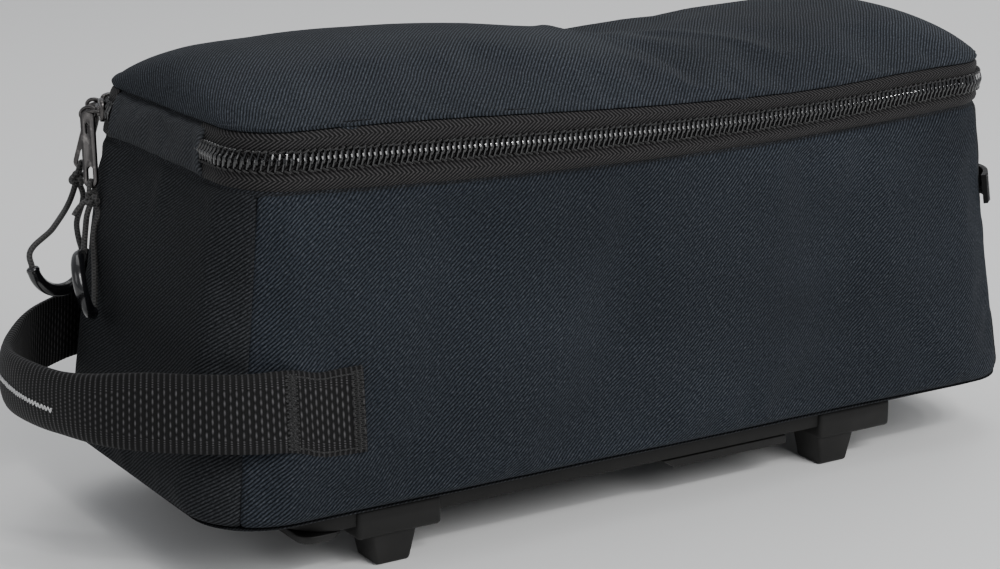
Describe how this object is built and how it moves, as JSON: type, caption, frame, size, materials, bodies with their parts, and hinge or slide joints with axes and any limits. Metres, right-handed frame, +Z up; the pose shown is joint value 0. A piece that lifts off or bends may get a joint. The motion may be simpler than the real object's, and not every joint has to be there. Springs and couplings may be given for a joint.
{
  "type": "bicycle trunk bag",
  "caption": "Long box-shaped padded bag for a rear bicycle rack, with a crowned zip lid, a webbing carry handle at one end and a moulded clip-on adapter with feet below.",
  "frame": {"origin": "centre of the bounding box at the underside of the adapter's feet, without the cords and their grips", "axes": "+X along the bag's length away from the carry handle, +Z up, the long side shown in the picture faces -Y"},
  "size_m": [0.3989, 0.1496, 0.1716],
  "materials": {
    "twill": "dark blue-grey diagonal twill",
    "dark_twill": "near-black twill",
    "zip_tape": "black woven tape",
    "zip_coil": "black nylon coil",
    "webbing": "black ribbed webbing",
    "adapter_plastic": "satin black moulding",
    "slider_metal": "gunmetal plating",
    "cord": "black braided cord",
    "grip_rubber": "glossy black moulding"
  },
  "bodies": {
    "root": {"side_panel_right": "twill", "side_panel_left": "twill", "end_panel_far": "twill", "end_panel_handle": "twill", "base_panel": "dark_twill", "hinge_band": "twill", "lid_panel": "twill", "zip_tape_lower": "zip_tape", "zip_tape_upper": "zip_tape", "zip_coil": "zip_coil", "carry_handle": "webbing", "lamp_strap": "webbing", "adapter_plate": "adapter_plastic", "adapter_nose": "adapter_plastic", "adapter_rail_right": "adapter_plastic", "adapter_rail_left": "adapter_plastic", "adapter_foot_near_right": "adapter_plastic", "adapter_foot_near_left": "adapter_plastic", "adapter_foot_far_right": "adapter_plastic", "adapter_foot_far_left": "adapter_plastic", "slider_a": "slider_metal", "slider_b": "slider_metal", "pull_tab_a": "slider_metal", "pull_tab_b": "slider_metal", "cord_knot_a": "cord", "cord_knot_b": "cord", "puller_cord_a1": "cord", "puller_cord_a2": "cord", "puller_cord_b1": "cord", "puller_cord_b2": "cord", "puller_grip_a": "grip_rubber", "puller_grip_b": "grip_rubber"}
  },
  "joints": []
}
